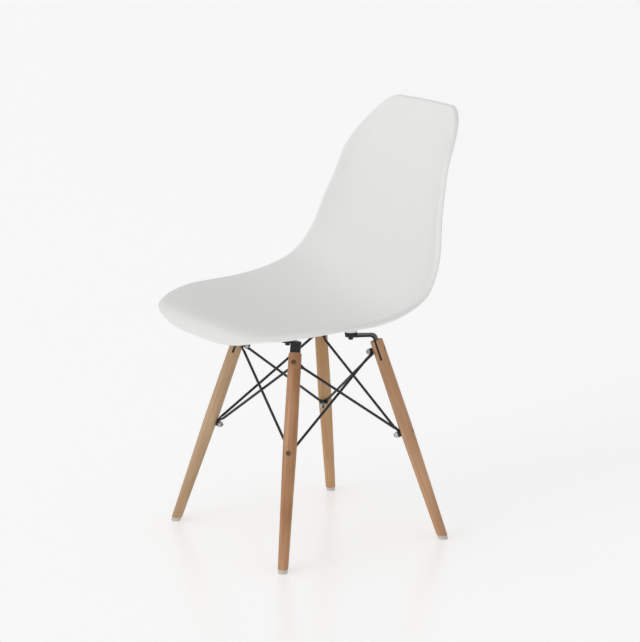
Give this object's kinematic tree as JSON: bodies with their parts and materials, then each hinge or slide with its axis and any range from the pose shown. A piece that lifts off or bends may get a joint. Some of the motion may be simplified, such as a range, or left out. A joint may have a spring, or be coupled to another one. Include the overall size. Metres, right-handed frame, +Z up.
{
  "type": "moulded plastic shell chair",
  "caption": "Side chair with a one-piece moulded plastic shell on splayed turned wood legs, tied by crossed steel rods and bent steel brackets.",
  "frame": {"origin": "on the floor under the middle of the chair's overall box", "axes": "+Z up, -Y is the way the sitter faces, +X is the sitter's left"},
  "size_m": [0.4884, 0.521, 0.8107],
  "materials": {
    "shell_plastic": "white moulded polypropylene, satin",
    "leg_wood": "pale beech, clear satin lacquer",
    "glide_plastic": "pale translucent plastic",
    "black_steel": "black powder coat, semi-matt",
    "pad_rubber": "black rubber",
    "insert_brass": "plain turned brass",
    "black_fastener": "black oxide steel",
    "bolt_bronze": "brown bronze plating",
    "zinc_steel": "bright zinc plating"
  },
  "bodies": {
    "root": {"seat_shell": "shell_plastic", "front_right_leg": "leg_wood", "front_right_foot_glide": "glide_plastic", "front_right_bracket": "black_steel", "front_right_mount_pad": "pad_rubber", "front_left_leg": "leg_wood", "front_left_foot_glide": "glide_plastic", "front_left_bracket": "black_steel", "front_left_mount_pad": "pad_rubber", "rear_left_leg": "leg_wood", "rear_left_foot_glide": "glide_plastic", "rear_left_bracket": "black_steel", "rear_left_mount_pad": "pad_rubber", "rear_right_leg": "leg_wood", "rear_right_foot_glide": "glide_plastic", "rear_right_bracket": "black_steel", "rear_right_mount_pad": "pad_rubber", "brace_rod_front_right_to_front_left": "black_steel", "brace_rod_front_left_to_front_right": "black_steel", "brace_rod_front_left_to_rear_left": "black_steel", "brace_rod_rear_left_to_front_left": "black_steel", "brace_rod_rear_left_to_rear_right": "black_steel", "brace_rod_rear_right_to_rear_left": "black_steel", "brace_rod_rear_right_to_front_right": "black_steel", "brace_rod_front_right_to_rear_right": "black_steel", "shell_inserts": "insert_brass", "mount_screws": "black_fastener", "upper_leg_bolts": "bolt_bronze", "lower_leg_bolts": "bolt_bronze", "upper_leg_washers": "zinc_steel", "lower_leg_washers": "zinc_steel", "upper_leg_nuts": "zinc_steel", "lower_leg_nuts": "zinc_steel"}
  },
  "joints": []
}
